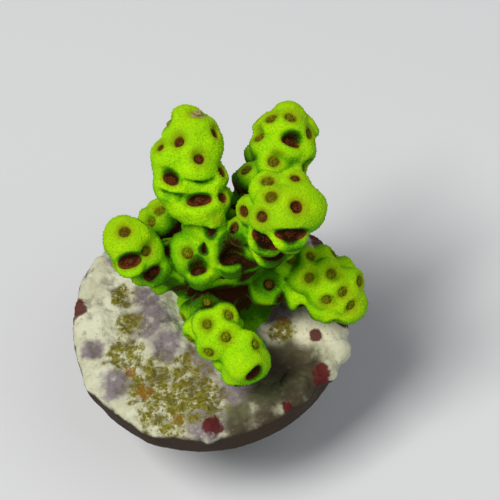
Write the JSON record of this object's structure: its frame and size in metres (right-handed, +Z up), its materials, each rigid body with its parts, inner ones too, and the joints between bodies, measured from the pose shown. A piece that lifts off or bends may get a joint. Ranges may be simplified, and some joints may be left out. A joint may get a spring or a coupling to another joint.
{
  "type": "staghorn coral frag on a plug",
  "caption": "Young branching stony coral, studded with round-lipped cups, grown over the disc of a stemmed ceramic frag plug.",
  "frame": {"origin": "centre of the flat foot of the plug's stem", "axes": "+Z up along the plug's stem, -Y towards the side that the picture looks at, +X to the right as seen from there"},
  "size_m": [0.0273, 0.0254, 0.0401],
  "materials": {
    "coral_skin": "soft living tissue, granular and slightly moist, bright yellow-green with brown pits",
    "coral_base_skin": "shaded living tissue, green going to dark brown between the cups and at the foot",
    "crusted_ceramic": "unglazed ceramic crusted with cream, mauve and maroon coralline algae"
  },
  "bodies": {
    "root": {"frag_plug": "crusted_ceramic", "trunk": "coral_base_skin", "tall_branch": "coral_skin", "left_branch": "coral_skin", "middle_branch": "coral_skin", "back_branch": "coral_skin", "right_branch": "coral_skin", "front_branch": "coral_skin", "rear_branch": "coral_skin", "small_bud": "coral_skin"}
  },
  "joints": []
}
